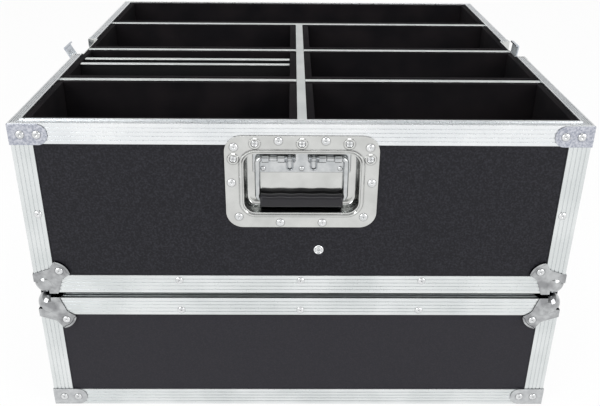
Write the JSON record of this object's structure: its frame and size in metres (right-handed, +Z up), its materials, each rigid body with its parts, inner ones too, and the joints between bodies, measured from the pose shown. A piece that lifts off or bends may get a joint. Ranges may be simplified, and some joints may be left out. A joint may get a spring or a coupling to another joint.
{
  "type": "flight case",
  "caption": "Square road case with lift-off lid stood beneath its open base: divided foam-lined bays, grooved aluminium edges, ball corners, butterfly latches and recessed spring handles.",
  "frame": {"origin": "centre of the footprint on the floor, under the lid's mouth", "axes": "+X to the right seen from the front handle, +Y to the back, +Z up"},
  "size_m": [0.6872, 0.668, 0.4145],
  "materials": {
    "black_laminate": "plywood faced with black fine-textured laminate",
    "aluminium_profile": "satin extruded, fine grooves",
    "chromed_steel": "bright plated, slightly worn",
    "zinc_plated_steel": "zinc plated, grey-blue",
    "bright_rivets": "bright domed heads",
    "black_foam": "matt closed-cell foam",
    "black_rubber": "matt moulded",
    "black_plastic_board": "matt"
  },
  "bodies": {
    "lid": {"lid_front_panel": "black_laminate", "lid_back_panel": "black_laminate", "lid_left_panel": "black_laminate", "lid_right_panel": "black_laminate", "lid_top_panel": "black_laminate", "lid_top_angles": "aluminium_profile", "lid_corner_angles": "aluminium_profile", "lid_mouth_rails": "aluminium_profile", "lid_ball_corners": "chromed_steel", "lid_mouth_braces": "zinc_plated_steel", "lid_rivets": "bright_rivets", "lid_pad": "black_foam", "lid_latch_dishes": "chromed_steel", "lid_latch_catches": "zinc_plated_steel"},
    "base": {"base_front_panel": "black_laminate", "base_back_panel": "black_laminate", "base_left_panel": "black_laminate", "base_right_panel": "black_laminate", "base_bottom_panel": "black_laminate", "base_bottom_angles": "aluminium_profile", "base_corner_angles": "aluminium_profile", "base_rim_rails": "aluminium_profile", "base_ball_corners": "chromed_steel", "base_rim_braces": "zinc_plated_steel", "base_rivets": "bright_rivets", "wall_linings": "black_foam", "recessed_wall_linings": "black_foam", "floor_linings": "black_foam", "centre_divider": "black_laminate", "front_cross_divider": "black_laminate", "middle_cross_divider": "black_laminate", "rear_cross_divider": "black_laminate", "centre_divider_cap": "aluminium_profile", "cross_divider_caps": "aluminium_profile", "divider_brackets": "aluminium_profile", "bracket_screws": "zinc_plated_steel", "left_latch_dish": "chromed_steel", "right_latch_dish": "chromed_steel", "latch_brackets": "zinc_plated_steel", "latch_pins": "zinc_plated_steel", "front_handle_dish": "chromed_steel", "back_handle_dish": "chromed_steel", "handle_hinge_plates": "zinc_plated_steel", "handle_springs": "zinc_plated_steel"},
    "front_handle": {"front_handle_bail": "zinc_plated_steel", "front_handle_grip": "black_rubber"},
    "back_handle": {"back_handle_bail": "zinc_plated_steel", "back_handle_grip": "black_rubber"},
    "front_partition": {"front_partition": "black_plastic_board", "front_partition_cap": "aluminium_profile"},
    "rear_partition": {"rear_partition": "black_plastic_board", "rear_partition_cap": "aluminium_profile"},
    "left_latch_cradle": {"left_latch_cradle": "zinc_plated_steel"},
    "left_latch_claw": {"left_latch_claw": "zinc_plated_steel"},
    "left_latch_spindle": {"left_latch_spindle": "zinc_plated_steel"},
    "left_latch_wing": {"left_latch_wing": "zinc_plated_steel"},
    "right_latch_cradle": {"right_latch_cradle": "zinc_plated_steel"},
    "right_latch_claw": {"right_latch_claw": "zinc_plated_steel"},
    "right_latch_spindle": {"right_latch_spindle": "zinc_plated_steel"},
    "right_latch_wing": {"right_latch_wing": "zinc_plated_steel"}
  },
  "joints": [
    {"name": "base_lift", "type": "slide", "parent": "lid", "child": "base", "axis": [0, 0, 1], "range_m": [0, 0.3]},
    {"name": "front_handle_swing", "type": "hinge", "parent": "base", "child": "front_handle", "pos_m": [0, -0.321, 0.3598], "axis": [-1, 0, 0], "range_deg": [0, 90], "stiffness_Nm_per_rad": 0.6, "springref_deg": -28.65},
    {"name": "back_handle_swing", "type": "hinge", "parent": "base", "child": "back_handle", "pos_m": [0, 0.321, 0.3598], "axis": [1, 0, 0], "range_deg": [0, 90], "stiffness_Nm_per_rad": 0.6, "springref_deg": -28.65},
    {"name": "left_latch_tilt", "type": "hinge", "parent": "base", "child": "left_latch_cradle", "pos_m": [-0.3225, 0, 0.3483], "axis": [0, -1, 0], "range_deg": [-28, 7]},
    {"name": "left_latch_twist", "type": "hinge", "parent": "left_latch_cradle", "child": "left_latch_spindle", "pos_m": [-0.33471, 0, 0.37126], "axis": [-0.8829, 0, -0.4695], "range_deg": [0, 180]},
    {"name": "left_latch_claw_slide", "type": "slide", "parent": "left_latch_cradle", "child": "left_latch_claw", "axis": [-0.4695, 0, 0.8829], "range_m": [-0.005, 0]},
    {"name": "left_latch_wing_fold", "type": "hinge", "parent": "left_latch_spindle", "child": "left_latch_wing", "pos_m": [-0.33833, 0, 0.36933], "axis": [0, 1, 0], "range_deg": [0, 90]},
    {"name": "right_latch_tilt", "type": "hinge", "parent": "base", "child": "right_latch_cradle", "pos_m": [0.3225, 0, 0.3483], "axis": [0, 1, 0], "range_deg": [-6, 29]},
    {"name": "right_latch_twist", "type": "hinge", "parent": "right_latch_cradle", "child": "right_latch_spindle", "pos_m": [0.32522, 0, 0.37416], "axis": [0.9945, 0, -0.1045], "range_deg": [0, 180]},
    {"name": "right_latch_claw_slide", "type": "slide", "parent": "right_latch_cradle", "child": "right_latch_claw", "axis": [0.1045, 0, 0.9945], "range_m": [-0.005, 0]},
    {"name": "right_latch_wing_fold", "type": "hinge", "parent": "right_latch_spindle", "child": "right_latch_wing", "pos_m": [0.3293, 0, 0.37373], "axis": [0, -1, 0], "range_deg": [0, 90]},
    {"name": "front_partition_lift", "type": "slide", "parent": "base", "child": "front_partition", "axis": [0, 0, 1], "range_m": [0, 0.2]},
    {"name": "rear_partition_lift", "type": "slide", "parent": "base", "child": "rear_partition", "axis": [0, 0, 1], "range_m": [0, 0.2]}
  ],
  "couplings": [
    {"joint": "left_latch_claw_slide", "follows": "left_latch_twist", "m_per_rad": -0.0015915},
    {"joint": "right_latch_claw_slide", "follows": "right_latch_twist", "m_per_rad": -0.0015915}
  ]
}
